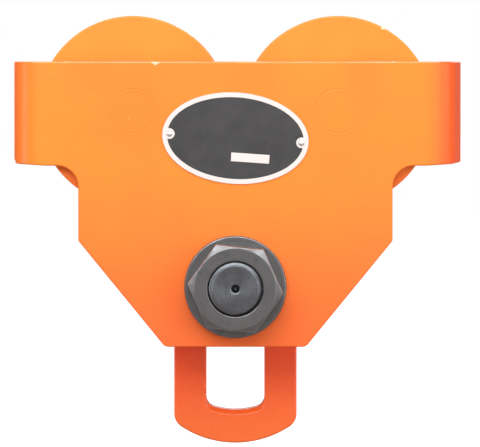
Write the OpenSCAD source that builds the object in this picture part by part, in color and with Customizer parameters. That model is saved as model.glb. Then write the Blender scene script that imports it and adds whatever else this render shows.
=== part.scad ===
// Push trolley for a chain hoist. Four flanged wheels in two folded side plates run on the lower
// flange of an I-beam, and a bolt across the plates carries a link for the hoist's top hook.
// X runs along the beam, Y across it and Z up. The origin lies on the beam's centre line, at the
// height where the wheel treads meet the flange. The front plate is the one at negative Y.

/* [Wheels] */
// Tread diameter next to the wheel's flange
tread_d = 116; // [108:1:126]
// Width of the tread
tread_w = 32; // [28:1:40]
// How much the tread's radius falls towards the beam's web, for a tapered beam flange
tread_fall = 2; // [0:0.5:3]
// Height of the wheel's flange above the tread
flange_lip = 13; // [9:1:16]
// Thickness of the wheel's flange
flange_t = 10; // [8:1:13]
// Gap between the flanges of the two wheels on one plate
wheel_gap = 11; // [4:1:30]
// Gap between the wheel's flange and the side plate
plate_gap = 3; // [2:0.5:6]
// Wall between the wheel's outer face and its bearing seat
seat_wall = 11; // [8:1:13]
// Rounding of the flange's rim
rim_r = 1.5; // [1:0.5:4]
// Fillet between the flange and the tread
root_r = 3; // [1:0.5:5]
// Chamfer at the tread's inner end
tread_ease = 2; // [1:0.5:4]
// Chamfer at the mouth of the bearing seat
seat_ease = 1.2; // [0.6:0.1:2]

/* [Bearings] */
// Bearing outside diameter
bearing_d = 72; // [68:1:78]
// Bearing bore
bearing_bore = 30; // [26:1:32]
// Bearing width
bearing_w = 19; // [18:1:21]
// Ball diameter
ball_d = 12; // [11:0.5:12.5]
// Number of balls in a bearing
ball_count = 8; // [6:1:9]
// Gap between a ball and its grooves
ball_play = 0.1; // [0.05:0.05:0.2]
// Half the height of the open space between the two rings
land_gap = 3.8; // [3.4:0.1:4.2]
// Radial thickness of the ball cage
cage_t = 2.6; // [2:0.2:3]
// Clearance of a ball in its cage pocket
pocket_play = 0.2; // [0.15:0.05:0.3]
// Thickness of a bearing shield
shield_t = 0.6; // [0.4:0.1:0.8]
// How far a shield lies below the bearing's face
shield_set = 0.7; // [0.5:0.1:1]
// Gap between a shield and the inner ring, and between a shield and the cage
shield_play = 0.5; // [0.3:0.1:0.8]
// Depth of the step that holds a shield's rim
shield_seat = 1.2; // [0.8:0.1:1.6]
// Chamfer on the rings' outer edges
ring_ease = 0.8; // [0.5:0.1:1.2]
// Chamfer on the cage's edges
cage_ease = 0.3; // [0.1:0.1:0.5]

/* [Axles] */
// Diameter of the axle's end that is welded into the side plate
spigot_d = 33; // [28:1:38]
// Width of the groove round the spigot, where the weld is ground flush
spigot_ease = 0.8; // [0.4:0.1:1.5]
// Diameter of the axle's collar
collar_d = 40; // [39:1:42]
// Gap between the collar and the hole in the wheel
collar_play = 3; // [1:0.5:4]
// Length of the axle beyond its bearing
axle_tail = 5; // [4:0.5:8]
// Chamfer on the axle's tail
tail_ease = 1.2; // [0.5:0.1:2]
// Thickness of the snap ring in the wheel
bore_clip_t = 2.5; // [2:0.5:3]
// Depth of the groove that holds the snap ring in the wheel
bore_clip_depth = 1.5; // [1:0.1:2]
// Radial width of the snap ring in the wheel
bore_clip_w = 6.5; // [5:0.5:7]
// Half the distance between the lugs of the snap ring in the wheel
bore_lug = 4; // [3:0.5:5]
// Diameter of the holes in its lugs
bore_lug_hole = 3; // [2:0.5:3.5]
// Angle of its gap, in degrees
bore_clip_turn = 70; // [0:10:350]
// Thickness of the snap ring on the axle
axle_clip_t = 1.5; // [1:0.5:2]
// Depth of the groove that holds the snap ring on the axle
axle_clip_depth = 0.7; // [0.5:0.1:1.5]
// Radial width of the snap ring on the axle
axle_clip_w = 3.5; // [3:0.5:4]
// Half the distance between the lugs of the snap ring on the axle
axle_lug = 2.6; // [2:0.2:3]
// Diameter of the holes in its lugs
axle_lug_hole = 2; // [1:0.5:2.5]
// Angle of its gap, in degrees
axle_clip_turn = 250; // [0:10:350]

/* [Side plates] */
// Thickness of the side plates
plate_t = 10; // [8:0.5:12]
// Height of the plate's top edge above the axles
plate_top = 37; // [28:1:50]
// Height of the band that carries the wheels and folds into the ears
band_h = 77.5; // [70:0.5:90]
// Width of the plate below the band
body_w = 234; // [200:1:250]
// Height of the plate's upright sides below the band
side_h = 56; // [40:1:70]
// Width of the plate's lower edge
foot_w = 105; // [90:1:130]
// Distance from the axles down to the load bolt
axle_to_bolt = 130.5; // [126:0.5:145]
// Distance from the load bolt down to the plate's lower edge
bolt_to_foot = 45; // [42:0.5:60]
// Fillet in the notch below each ear
notch_r = 16; // [6:1:20]
// Rounding of the corners at the plate's lower edge
foot_r = 6; // [2:1:12]
// Rounding of the corners at the ends of the upright sides
hip_r = 4; // [2:1:12]
// Inside radius of the folds
fold_r = 8; // [5:1:12]
// Angle that the ears are folded through, in degrees
fold_angle = 88; // [80:1:90]
// How much further open the fold at the plate's right end stands, in degrees
ear_spread = 6.5; // [0:0.5:8]
// Depth of an ear from the plate's outer face
ear_len = 52; // [40:1:54]
// How far the band's lower edge rises at the folds
ear_rise = 1.4; // [0:0.2:8]
// Distance before a fold at which the lower edge starts to rise
rise_run = 5; // [0:1:20]
// Rounding of the corners at the ear's tip
ear_r = 1.5; // [1:0.5:12]
// Gap between a wheel's flange and the ear
ear_gap = 7; // [4:1:20]

/* [Load bolt] */
// Diameter of the load bolt
bolt_d = 39; // [36:1:40]
// Chamfer on the ends of the bolt
bolt_ease = 3.2; // [2:0.1:3.6]
// How far the bolt stands out of its nuts
bolt_proud = 2; // [0:0.5:8]
// Diameter of the centre hole in the bolt's ends
centre_d = 8.5; // [4:0.5:10]
// Depth of the centre hole
centre_depth = 9; // [6:1:15]
// Width of the nuts across their flats
nut_flats = 61.5; // [60:0.5:66]
// Diameter of the nut's round face inside its chamfered corners
nut_face_d = 58; // [52:0.5:59]
// Height of the nuts
nut_h = 31; // [24:1:36]
// Countersink at the nut's bore, on the radius
nut_sink = 2.5; // [1:0.1:4]
// Angle that the nuts are turned from level, in degrees
nut_turn = -6; // [-30:1:30]
// Radial gap between the bolt and the holes in the plates
hole_play = 0.5; // [0.3:0.1:1]

/* [Spacer washers] */
// Outside diameter of the spacer washers
washer_d = 76; // [70:1:80]
// Thickness of a thick washer
thick_t = 8; // [6:0.5:10]
// Thickness of a thin washer
thin_t = 3; // [2:0.5:4]
// Chamfer on the washers' edges
washer_ease = 0.7; // [0.3:0.1:0.9]
// Radial gap between the washers and the bolt
washer_play = 0.6; // [0.3:0.1:1]
// Thick washers between the link and each plate
inner_thick = 7; // [6:1:9]
// Thin washers between the link and each plate
inner_thin = 3; // [1:1:4]
// Thick washers between each plate and its nut
outer_thick = 1; // [1:1:3]
// Thin washers between each plate and its nut
outer_thin = 1; // [1:1:3]

/* [Link] */
// Width of the link
link_w = 93; // [86:1:110]
// Thickness of the link
link_t = 25; // [20:1:30]
// Distance from the bolt down to the link's lower end
link_drop = 122; // [112:1:140]
// Height of the link's floor, which the hook hangs on
link_floor = 25; // [18:1:30]
// Radius of the link's lower end
link_arc_r = 75; // [60:1:100]
// Radius of the link's lower corners
link_corner_r = 12; // [6:1:18]
// Chamfer on the link's outer edges
link_ease = 1; // [0.5:0.5:3]
// Width of the hook slot
slot_w = 44; // [36:1:50]
// Distance from the bolt down to the top of the hook slot
slot_top = 40; // [36:1:45]
// Radius of the slot's floor
slot_arc_r = 57; // [40:1:80]
// Radius of the slot's corners
slot_corner_r = 8; // [4:1:12]
// Chamfer on the slot's edges
slot_ease = 3; // [1:0.5:5]
// Gap on each side of the link
link_play = 0.5; // [0.3:0.1:1]
// Radial gap between the link and the bolt
link_bore_play = 0.25; // [0.2:0.05:0.5]

/* [Nameplate] */
// Length of the oval nameplate
name_l = 109; // [90:1:120]
// Height of the oval nameplate
name_h = 68; // [50:1:72]
// Thickness of the nameplate's field
name_t = 0.6; // [0.4:0.1:1]
// Width of the nameplate's raised rim
name_rim_w = 3.6; // [2:0.2:5]
// Height of the rim above the field
name_rim_h = 0.3; // [0.2:0.1:0.5]
// Length of the blank field for a stamped number
field_l = 28.5; // [16:0.5:40]
// Height of the blank field
field_h = 6.5; // [4:0.5:8]
// Distance from the nameplate's centre across to the blank field's centre
field_x = 12; // [-14:1:14]
// Distance from the nameplate's centre down to the blank field's centre
field_down = 14; // [8:0.5:17]
// Angle that the nameplate is turned from level, in degrees
name_turn = -4; // [-8:1:8]
// Height of the nameplate's centre above the load bolt
name_up = 110.5; // [100:0.5:116]
// Distance from the nameplate's centre to its rivets
rivet_reach = 49.3; // [40:0.1:51]
// Diameter of the raised spot round each rivet
rivet_spot_d = 8; // [7:0.5:10]
// Diameter of a rivet's head
rivet_head_d = 5; // [4:0.5:6]
// Height of a rivet's head
rivet_head_h = 1.4; // [1:0.1:2]
// Diameter of a rivet's shank
rivet_d = 3; // [2:0.5:3.5]
// Depth of a rivet's hole in the plate
rivet_depth = 5; // [4:0.5:7]

/* [Hidden] */
$fn = 96;
SIDES = ["front", "rear"];
ENDS = ["left", "right"];
CORNERS = [for (s = SIDES) for (e = ENDS) str(s, "_", e)];
PER_WHEEL = ["wheel", "axle", "bearing_outer_ring", "bearing_inner_ring", "bearing_balls",
             "bearing_cage", "bearing_shields", "wheel_snap_ring", "axle_snap_ring"];
PER_SIDE = ["side_plate", "load_bolt_nut", "outer_washers", "link_spacers"];
NODES = concat([for (p = PER_SIDE) for (s = SIDES) str(p, "_", s)],
               ["load_bolt", "suspension_link", "nameplate", "nameplate_rivets"],
               [for (p = PER_WHEEL) for (c = CORNERS) str(p, "_", c)]);
node = "all";

// Room that a cutter takes past the face it cuts
over = 1;
// Wheels
flange_d = tread_d + 2 * flange_lip;
run_r = (tread_d - tread_fall) / 2;
wheel_base = flange_d + wheel_gap;
wheel_w = flange_t + tread_w;
// Stations along an axle, measured inwards from the plate's outer face
wheel_at = plate_t + plate_gap;
seat_at = wheel_at + seat_wall;
clip_at = seat_at + bearing_w;
tail_at = clip_at + axle_tail;
// Bearings
pitch_r = (bearing_d + bearing_bore) / 4;
inner_land_r = pitch_r - land_gap;
outer_land_r = pitch_r + land_gap;
groove_r = ball_d / 2 + ball_play;
shield_r = outer_land_r + shield_seat;
cage_w = bearing_w - 2 * (shield_set + shield_t + shield_play);
// Heights
bolt_z = run_r - axle_to_bolt;
top_z = run_r + plate_top;
band_z = top_z - band_h;
hip_z = band_z - side_h;
foot_z = bolt_z - bolt_to_foot;
// Places across the beam
stack_in = inner_thick * thick_t + inner_thin * thin_t;
stack_out = outer_thick * thick_t + outer_thin * thin_t;
plate_in = link_t / 2 + link_play + stack_in;
plate_out = plate_in + plate_t;
nut_in = plate_out + stack_out;
bolt_half = nut_in + nut_h + bolt_proud;
// Side plate
plate_len = wheel_base + flange_d + 2 * (ear_gap + plate_t);
fold_out_r = fold_r + plate_t;
fold_x = plate_len / 2 - fold_out_r;

function side_of(name) = name == "front" ? -1 : 1;
function end_of(name) = name == "left" ? -1 : 1;
function shown(name) = node == "all" || node == name;
function unit(v) = v / norm(v);

// The points of a right half outline for its left half, in the order that closes it
function mirrored(points) =
    [for (i = [len(points) - 1:-1:0]) [-points[i].x, points[i].y]];

// Where a fillet of radius r at corner p, between the edges to a and to b, leaves the two edges,
// and the centre of its arc
function fillet(p, a, b, r) =
    let (u = unit(a - p), v = unit(b - p), half = acos(u * v) / 2)
    [p + u * r / tan(half), p + unit(u + v) * r / sin(half), p + v * r / tan(half)];

// Turns +Z, the way a turned piece is drawn, to point inwards at a plate, and places it there
module at_axle(side, end) {
    translate([end_of(end) * wheel_base / 2, side_of(side) * plate_out, run_r])
        rotate([side_of(side) * 90, 0, 0])
            children();
}

// Places what is drawn for the front half on the side that is named
module on_side(side) {
    rotate([0, 0, side == "front" ? 0 : 180])
        children();
}

// Places what is turned about Z on the bolt's axis, with +Z pointing inwards from the front
module on_bolt(y) {
    translate([0, y, bolt_z])
        rotate([-90, 0, 0])
            children();
}

// Flat ring with chamfered edges, lying on Z = 0
module ring(outer_r, inner_r, h, ease) {
    rotate_extrude()
        polygon([[inner_r + ease, 0], [outer_r - ease, 0], [outer_r, ease], [outer_r, h - ease],
                 [outer_r - ease, h], [inner_r + ease, h], [inner_r, h - ease], [inner_r, ease]]);
}

// Outline of the plate below its band, in X and Z, running up to the band's top
module plate_outline() {
    hip = [body_w / 2, hip_z];
    foot = [foot_w / 2, foot_z];
    hip_fillet = fillet(hip, [body_w / 2, band_z], foot, hip_r);
    foot_fillet = fillet(foot, hip, [0, foot_z], foot_r);
    right = [[body_w / 2, top_z - over], hip_fillet[0], hip_fillet[2],
             foot_fillet[0], foot_fillet[2]];
    polygon(concat(right, mirrored(right)));
    for (m = [-1, 1]) {
        translate([m * hip_fillet[1].x, hip_fillet[1].y])
            circle(r = hip_r);
        translate([m * foot_fillet[1].x, foot_fillet[1].y])
            circle(r = foot_r);
        translate([m * body_w / 2, band_z])
            notch_fillet(m);
    }
}

// Inside corner fillet between the band's lower edge and the plate's upright side
module notch_fillet(m) {
    difference() {
        translate([m > 0 ? -over : -notch_r, -notch_r])
            square([notch_r + over, notch_r + over]);
        translate([m * notch_r, -notch_r])
            circle(r = notch_r);
    }
}

// Points of a fold of radius r through an angle, at the right end, and of the ear's face, which
// runs on for reach beyond it
function fold_end(r, reach, angle) =
    let (centre = [fold_x, fold_out_r], leave = centre + r * [sin(angle), -cos(angle)])
    [centre - [0, r], centre, leave, leave + reach * [cos(angle), sin(angle)]];

// Plan of a folded strip, in X and depth, filled in behind it. Its flat lies at fold_out_r - r,
// its folds have radius r, and the ears run on for reach beyond them.
module fold_plan(r, reach) {
    polygon(concat(fold_end(r, reach, fold_angle - ear_spread),
                   mirrored(fold_end(r, reach, fold_angle))));
    for (m = [-1, 1])
        translate([m * fold_x, fold_out_r])
            circle(r = r);
}

// Side view of the band, in depth and Z, with rounded corners at the ears' tips
module band_side() {
    low_z = band_z + ear_rise;
    translate([-over, band_z])
        square([ear_len - ear_r + over, band_h]);
    translate([-over, low_z + ear_r])
        square([ear_len + over, top_z - low_z - 2 * ear_r]);
    for (z = [low_z + ear_r, top_z - ear_r])
        translate([ear_len - ear_r, z])
            circle(r = ear_r);
}

// Band folded back into an ear at both ends, with the front face at Y = 0
module folded_band() {
    reach = plate_len / 2 + ear_len;
    intersection() {
        translate([0, 0, band_z])
            linear_extrude(band_h)
                difference() {
                    fold_plan(fold_out_r, ear_len);
                    fold_plan(fold_r, ear_len + plate_t);
                }
        translate([-reach, 0, 0])
            rotate([90, 0, 90])
                linear_extrude(2 * reach)
                    band_side();
    }
}

// Wedge below the rising stretch of the band's lower edge
module rise_cut() {
    run = plate_len / 2 - fold_x + rise_run;
    translate([fold_x - rise_run, ear_len + over, band_z])
        rotate([90, 0, 0])
            linear_extrude(ear_len + 2 * over)
                polygon([[0, 0], [2 * run, 2 * ear_rise], [2 * run, -over], [0, -over]]);
}

module side_plate(side) {
    color("darkorange")
        on_side(side)
            translate([0, -plate_out, 0])
                difference() {
                    union() {
                        translate([0, plate_t, 0])
                            rotate([90, 0, 0])
                                linear_extrude(plate_t)
                                    plate_outline();
                        folded_band();
                    }
                    rise_cut();
                    mirror([1, 0, 0])
                        rise_cut();
                    for (m = [-1, 1])
                        translate([m * wheel_base / 2, -over, run_r])
                            rotate([-90, 0, 0])
                                cylinder(d = spigot_d, h = plate_t + 2 * over);
                    translate([0, -over, bolt_z])
                        rotate([-90, 0, 0])
                            cylinder(r = bolt_d / 2 + hole_play, h = plate_t + 2 * over);
                    if (side == "front")
                        at_rivets()
                            translate([0, 0, -over])
                                cylinder(d = rivet_d, h = rivet_depth + over);
                }
}

// Frame of the nameplate on the outer face, with +Z pointing into the plate
module at_nameplate() {
    translate([0, 0, bolt_z + name_up])
        rotate([0, -name_turn, 0])
            rotate([-90, 0, 0])
                children();
}

module at_rivets() {
    at_nameplate()
        for (m = [-1, 1])
            translate([m * rivet_reach, 0, 0])
                children();
}

module oval(inset) {
    scale([1, (name_h - 2 * inset) / (name_l - 2 * inset)])
        circle(d = name_l - 2 * inset);
}

// Oval plate with a raised rim, a raised spot round each rivet and a blank field
module nameplate() {
    color("dimgray")
        translate([0, -plate_out, 0])
            at_nameplate()
                difference() {
                    union() {
                        translate([0, 0, -name_t])
                            linear_extrude(name_t)
                                oval(0);
                        translate([0, 0, -name_t - name_rim_h])
                            linear_extrude(name_rim_h + name_t / 2) {
                                difference() {
                                    oval(0);
                                    oval(name_rim_w);
                                }
                                intersection() {
                                    oval(name_rim_w / 2);
                                    for (m = [-1, 1])
                                        translate([m * rivet_reach, 0])
                                            circle(d = rivet_spot_d);
                                }
                                translate([field_x, field_down])
                                    square([field_l, field_h], center = true);
                            }
                    }
                    for (m = [-1, 1])
                        translate([m * rivet_reach, 0, -name_t - name_rim_h - over])
                            cylinder(d = rivet_d, h = name_t + name_rim_h + 2 * over);
                }
}

// Two drive rivets with domed heads
module nameplate_rivets() {
    top = name_t + name_rim_h;
    dome_r = (pow(rivet_head_d / 2, 2) + pow(rivet_head_h, 2)) / (2 * rivet_head_h);
    color("silver")
        translate([0, -plate_out, 0])
            at_rivets() {
                intersection() {
                    translate([0, 0, -top - rivet_head_h + dome_r])
                        sphere(r = dome_r);
                    translate([0, 0, -top - rivet_head_h])
                        cylinder(d = rivet_head_d, h = rivet_head_h);
                }
                translate([0, 0, -top])
                    cylinder(d = rivet_d, h = top + rivet_depth);
            }
}

// Half section of the wheel, in radius and station
module wheel_section() {
    bore_r = collar_d / 2 + collar_play;
    seat_r = bearing_d / 2;
    face = wheel_at + wheel_w;
    tread_at = wheel_at + flange_t;
    tread_end_r = tread_d / 2 - tread_fall;
    difference() {
        union() {
            translate([bore_r, wheel_at])
                square([tread_d / 2 - bore_r, flange_t]);
            polygon([[bore_r, tread_at], [tread_d / 2, tread_at],
                     [tread_end_r, face - tread_ease], [tread_end_r - tread_ease, face],
                     [bore_r, face]]);
            flange_rim(tread_at);
        }
        translate([0, seat_at])
            square([seat_r, face - seat_at + over]);
        translate([0, clip_at])
            square([seat_r + bore_clip_depth, bore_clip_t]);
        polygon([[0, face + over], [seat_r + seat_ease + over, face + over],
                 [seat_r - over, face - seat_ease - over], [0, face - seat_ease - over]]);
    }
}

// Rim of the wheel's flange with rounded edges, and the fillet at its root
module flange_rim(tread_at) {
    start_r = tread_d / 2 - over;
    flange_r = flange_d / 2;
    translate([start_r, wheel_at])
        square([flange_r - rim_r - start_r, flange_t]);
    translate([start_r, wheel_at + rim_r])
        square([flange_r - start_r, flange_t - 2 * rim_r]);
    for (a = [wheel_at + rim_r, tread_at - rim_r])
        translate([flange_r - rim_r, a])
            circle(r = rim_r);
    difference() {
        translate([start_r, tread_at - over])
            square([root_r + over, root_r + over]);
        translate([tread_d / 2 + root_r, tread_at + root_r])
            circle(r = root_r);
    }
}

module wheel(side, end) {
    color("darkorange")
        at_axle(side, end)
            rotate_extrude()
                wheel_section();
}

// Axle: spigot in the plate, collar, bearing seat with a groove for its snap ring, and tail
module axle(side, end) {
    seat_r = bearing_bore / 2;
    groove = seat_r - axle_clip_depth;
    spigot_r = spigot_d / 2;
    color("darkorange")
        at_axle(side, end)
            difference() {
                rotate_extrude()
                    polygon([[0, 0], [spigot_r - spigot_ease, 0], [spigot_r, spigot_ease],
                             [spigot_r, plate_t], [collar_d / 2, plate_t], [collar_d / 2, seat_at],
                             [seat_r, seat_at], [seat_r, clip_at], [groove, clip_at],
                             [groove, clip_at + axle_clip_t], [seat_r, clip_at + axle_clip_t],
                             [seat_r, tail_at - tail_ease], [seat_r - tail_ease, tail_at],
                             [0, tail_at]]);
                translate([0, 0, tail_at])
                    centre_hole(centre_d, centre_depth, -1);
            }
}

// Centre drilling at Z = 0, into the piece along the way given by dir
module centre_hole(d, depth, dir) {
    r = d / 2;
    rotate_extrude()
        polygon([[0, -dir * over], [r + over * tan(30), -dir * over], [r / 2, dir * r / 2 / tan(30)],
                 [r / 2, dir * (depth - r / 2)], [0, dir * depth]]);
}

module bearing_outer_ring(side, end) {
    half = bearing_w / 2;
    color("silver")
        at_axle(side, end)
            translate([0, 0, seat_at + half])
                rotate_extrude()
                    difference() {
                        polygon([[outer_land_r, -half], [bearing_d / 2 - ring_ease, -half],
                                 [bearing_d / 2, ring_ease - half],
                                 [bearing_d / 2, half - ring_ease],
                                 [bearing_d / 2 - ring_ease, half], [outer_land_r, half]]);
                        translate([pitch_r, 0])
                            circle(r = groove_r);
                        for (m = [-1, 1])
                            translate([0, m * (half - (shield_set + shield_t) / 2)])
                                square([2 * shield_r, shield_set + shield_t], center = true);
                    }
}

module bearing_inner_ring(side, end) {
    half = bearing_w / 2;
    bore_r = bearing_bore / 2;
    color("silver")
        at_axle(side, end)
            translate([0, 0, seat_at + half])
                rotate_extrude()
                    difference() {
                        polygon([[bore_r, ring_ease - half], [bore_r + ring_ease, -half],
                                 [inner_land_r, -half], [inner_land_r, half],
                                 [bore_r + ring_ease, half], [bore_r, half - ring_ease]]);
                        translate([pitch_r, 0])
                            circle(r = groove_r);
                    }
}

module bearing_balls(side, end) {
    color("gainsboro")
        at_axle(side, end)
            translate([0, 0, seat_at + bearing_w / 2])
                for (i = [0:ball_count - 1])
                    rotate([0, 0, 360 * i / ball_count])
                        translate([pitch_r, 0, 0])
                            sphere(d = ball_d);
}

// One ring with a round pocket for each ball
module bearing_cage(side, end) {
    color("goldenrod")
        at_axle(side, end)
            translate([0, 0, seat_at + bearing_w / 2])
                difference() {
                    translate([0, 0, -cage_w / 2])
                        ring(pitch_r + cage_t / 2, pitch_r - cage_t / 2, cage_w, cage_ease);
                    for (i = [0:ball_count - 1])
                        rotate([0, 90, 360 * i / ball_count])
                            translate([0, 0, pitch_r - cage_t])
                                cylinder(r = ball_d / 2 + pocket_play, h = 2 * cage_t);
                }
}

// A thin shield in the step at each face of the outer ring
module bearing_shields(side, end) {
    shield_in_r = inner_land_r + shield_play;
    color("lightgray")
        at_axle(side, end)
            for (z = [seat_at + shield_set, clip_at - shield_set - shield_t])
                translate([0, 0, z])
                    rotate_extrude()
                        translate([shield_in_r, 0])
                            square([shield_r - shield_in_r, shield_t]);
}

// Snap ring with a gap between two drilled lugs. The lugs reach from the ring's edge at lug_r,
// outwards on an axle and inwards in a bore.
module snap_ring(outer_r, inner_r, t, lug_r, lug, lug_hole, turn) {
    rotate([0, 0, turn])
        linear_extrude(t)
            difference() {
                union() {
                    circle(r = outer_r);
                    for (m = [-1, 1])
                        translate([lug_r, m * lug])
                            circle(r = lug * 0.8);
                }
                difference() {
                    circle(r = inner_r);
                    for (m = [-1, 1])
                        translate([lug_r, m * lug])
                            circle(r = lug * 0.8);
                }
                for (m = [-1, 1])
                    translate([lug_r, m * lug])
                        circle(d = lug_hole);
                translate([0, -lug * 0.35])
                    square([outer_r + 2 * lug, lug * 0.7]);
            }
}

module wheel_snap_ring(side, end) {
    outer_r = bearing_d / 2 + bore_clip_depth;
    color("darkslategray")
        at_axle(side, end)
            translate([0, 0, clip_at])
                snap_ring(outer_r, outer_r - bore_clip_w, bore_clip_t, outer_r - bore_clip_w,
                          bore_lug, bore_lug_hole, bore_clip_turn);
}

module axle_snap_ring(side, end) {
    inner_r = bearing_bore / 2 - axle_clip_depth;
    color("darkslategray")
        at_axle(side, end)
            translate([0, 0, clip_at])
                snap_ring(inner_r + axle_clip_w, inner_r, axle_clip_t, inner_r + axle_clip_w,
                          axle_lug, axle_lug_hole, axle_clip_turn);
}

module load_bolt() {
    r = bolt_d / 2;
    color("dimgray")
        on_bolt(0)
            difference() {
                translate([0, 0, -bolt_half])
                    rotate_extrude()
                        polygon([[0, 0], [r - bolt_ease, 0], [r, bolt_ease],
                                 [r, 2 * bolt_half - bolt_ease], [r - bolt_ease, 2 * bolt_half],
                                 [0, 2 * bolt_half]]);
                for (m = [-1, 1])
                    translate([0, 0, m * bolt_half])
                        centre_hole(centre_d, centre_depth, -m);
            }
}

// Hexagon nut with its corners chamfered at 30 degrees and its bore countersunk at both faces
module load_bolt_nut(side) {
    corner_r = nut_flats / 2 / cos(30);
    face_r = nut_face_d / 2;
    drop = (corner_r - face_r) * tan(30);
    bore_r = bolt_d / 2;
    color("dimgray")
        on_side(side)
            on_bolt(-nut_in - nut_h)
                rotate([0, 0, -nut_turn])
                    difference() {
                        intersection() {
                            cylinder(r = corner_r, h = nut_h, $fn = 6);
                            rotate_extrude()
                                polygon([[0, 0], [face_r, 0], [corner_r + over, drop + over * tan(30)],
                                         [corner_r + over, nut_h - drop - over * tan(30)],
                                         [face_r, nut_h], [0, nut_h]]);
                        }
                        rotate_extrude()
                            polygon([[0, -over], [bore_r + nut_sink + over, -over],
                                     [bore_r, nut_sink], [bore_r, nut_h - nut_sink],
                                     [bore_r + nut_sink + over, nut_h + over],
                                     [0, nut_h + over]]);
                    }
}

module washer(t) {
    ring(washer_d / 2, bolt_d / 2 + washer_play, t, washer_ease);
}

// Thick washers, then thin ones, stacked along +Z
module washer_stack(thick, thin) {
    for (i = [0:1:thick - 1])
        translate([0, 0, i * thick_t])
            washer(thick_t);
    for (i = [0:1:thin - 1])
        translate([0, 0, thick * thick_t + i * thin_t])
            washer(thin_t);
}

module outer_washers(side) {
    color("dimgray")
        on_side(side)
            on_bolt(-nut_in)
                washer_stack(outer_thick, outer_thin);
}

module link_spacers(side) {
    color("gray")
        on_side(side)
            on_bolt(-plate_in)
                washer_stack(inner_thick, inner_thin);
}

// Half section of a plate edge, from 0 to w in X and over a thickness t in Y. The edges are
// chamfered by ease, or flare outwards where ease is negative.
function edge_section(w, t, ease) =
    [[0, -t / 2], [w - ease, -t / 2], [w, abs(ease) - t / 2], [w, t / 2 - abs(ease)],
     [w - ease, t / 2], [0, t / 2]];

// Disc of radius w with that edge, about the Y axis
module edge_disc(w, t, ease) {
    rotate([90, 0, 0])
        rotate_extrude()
            polygon(edge_section(w, t, ease));
}

// Sector of such a disc that points down and opens by half_angle each way
module edge_sector(w, t, ease, half_angle) {
    rotate([90, 0, 0])
        rotate([0, 0, -90 - half_angle])
            rotate_extrude(angle = 2 * half_angle)
                polygon(edge_section(w, t, ease));
}

// Upright bar of half width w with that edge on both sides, from z0 to z1
module edge_bar(w, t, ease, z0, z1) {
    section = edge_section(w, t, ease);
    translate([0, 0, z0])
        linear_extrude(z1 - z0)
            polygon(concat(section, mirrored(section)));
}

// U shape of half width w: straight sides from z = 0, corners of radius corner and a floor of
// radius arc, whose lowest point is at floor_z
module edge_cup(w, t, ease, corner, arc, floor_z) {
    arc_z = floor_z + arc;
    reach = w - corner;
    corner_z = arc_z - sqrt(pow(arc - corner, 2) - pow(reach, 2));
    edge_bar(w, t, ease, corner_z, 0);
    for (m = [-1, 1])
        translate([m * reach, 0, corner_z])
            edge_disc(corner, t, ease);
    translate([0, 0, arc_z])
        edge_sector(arc, t, ease, asin(reach / (arc - corner)));
}

// Link: a round head on the bolt, and a hook slot with eased edges below it
module suspension_link() {
    w = link_w / 2;
    deep = link_t + 2 * over;
    flare = -slot_ease - over;
    slot_z = -slot_top - slot_corner_r;
    color("orangered")
        translate([0, 0, bolt_z])
            difference() {
                union() {
                    edge_disc(w, link_t, link_ease);
                    edge_cup(w, link_t, link_ease, link_corner_r, link_arc_r, -link_drop);
                }
                translate([0, 0, slot_z])
                    edge_cup(slot_w / 2, deep, flare, slot_corner_r, slot_arc_r,
                             link_floor - link_drop - slot_z);
                for (m = [-1, 1])
                    translate([m * (slot_w / 2 - slot_corner_r), 0, slot_z])
                        edge_disc(slot_corner_r, deep, flare);
                translate([slot_corner_r - slot_w / 2, 0, slot_z])
                    rotate([90, 0, 90])
                        linear_extrude(slot_w - 2 * slot_corner_r)
                            rotate(90)
                                polygon(edge_section(slot_corner_r, deep, flare));
                rotate([90, 0, 0])
                    cylinder(r = bolt_d / 2 + link_bore_play, h = deep, center = true);
            }
}

for (s = SIDES) {
    if (shown(str("side_plate_", s))) side_plate(s);
    if (shown(str("load_bolt_nut_", s))) load_bolt_nut(s);
    if (shown(str("outer_washers_", s))) outer_washers(s);
    if (shown(str("link_spacers_", s))) link_spacers(s);
    for (e = ENDS) {
        if (shown(str("wheel_", s, "_", e))) wheel(s, e);
        if (shown(str("axle_", s, "_", e))) axle(s, e);
        if (shown(str("bearing_outer_ring_", s, "_", e))) bearing_outer_ring(s, e);
        if (shown(str("bearing_inner_ring_", s, "_", e))) bearing_inner_ring(s, e);
        if (shown(str("bearing_balls_", s, "_", e))) bearing_balls(s, e);
        if (shown(str("bearing_cage_", s, "_", e))) bearing_cage(s, e);
        if (shown(str("bearing_shields_", s, "_", e))) bearing_shields(s, e);
        if (shown(str("wheel_snap_ring_", s, "_", e))) wheel_snap_ring(s, e);
        if (shown(str("axle_snap_ring_", s, "_", e))) axle_snap_ring(s, e);
    }
}
if (shown("load_bolt")) load_bolt();
if (shown("suspension_link")) suspension_link();
if (shown("nameplate")) nameplate();
if (shown("nameplate_rivets")) nameplate_rivets();
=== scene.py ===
"""Looks of a chain hoist trolley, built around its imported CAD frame.

X runs along the beam, Y across it and Z up, as in the frame. Sizes of the trolley are in
millimetres, as on a workshop drawing, and each mesh is turned into metres when it is made.
The studio's lamps and floor are in metres where they say so.
"""

import logging
import math
from dataclasses import dataclass, field, replace
from enum import Enum
from typing import Any, Optional, Union

import bpy
import numpy as np
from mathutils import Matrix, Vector
from mathutils.geometry import delaunay_2d_cdt

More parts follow.
